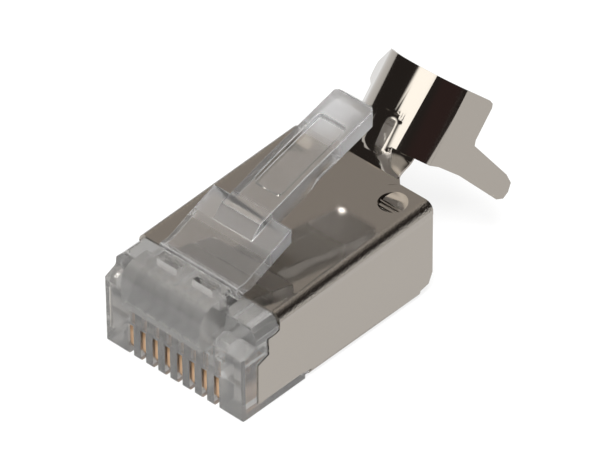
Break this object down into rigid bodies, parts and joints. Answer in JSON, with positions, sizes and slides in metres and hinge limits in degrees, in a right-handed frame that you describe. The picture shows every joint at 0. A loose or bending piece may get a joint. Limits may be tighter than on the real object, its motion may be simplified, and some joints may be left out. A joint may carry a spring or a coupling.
{
  "type": "shielded ethernet plug",
  "caption": "Shielded ethernet plug with a clear plastic body, press latch, gold contact blades and a folded metal shield ending in a bent-up cable clamp.",
  "frame": {"origin": "middle of the bottom edge of the front face, on the contact side", "axes": "+X across the plug, +Y from the mating end to the cable end, +Z from the contact side to the latch side"},
  "size_m": [0.0122, 0.0261, 0.0123],
  "materials": {
    "clear_plastic": "gloss",
    "nickel_sheet": "satin",
    "gold_contact": "gloss"
  },
  "bodies": {
    "plug": {"housing": "clear_plastic", "shield": "nickel_sheet", "contact_1": "gold_contact", "contact_2": "gold_contact", "contact_3": "gold_contact", "contact_4": "gold_contact", "contact_5": "gold_contact", "contact_6": "gold_contact", "contact_7": "gold_contact", "contact_8": "gold_contact"},
    "latch": {"latch_lever": "clear_plastic"}
  },
  "joints": [
    {"name": "latch_press", "type": "hinge", "parent": "plug", "child": "latch", "pos_m": [0, 0.00265, 0.0072], "axis": [-1, 0, 0], "range_deg": [0, 13], "stiffness_Nm_per_rad": 0.03}
  ]
}
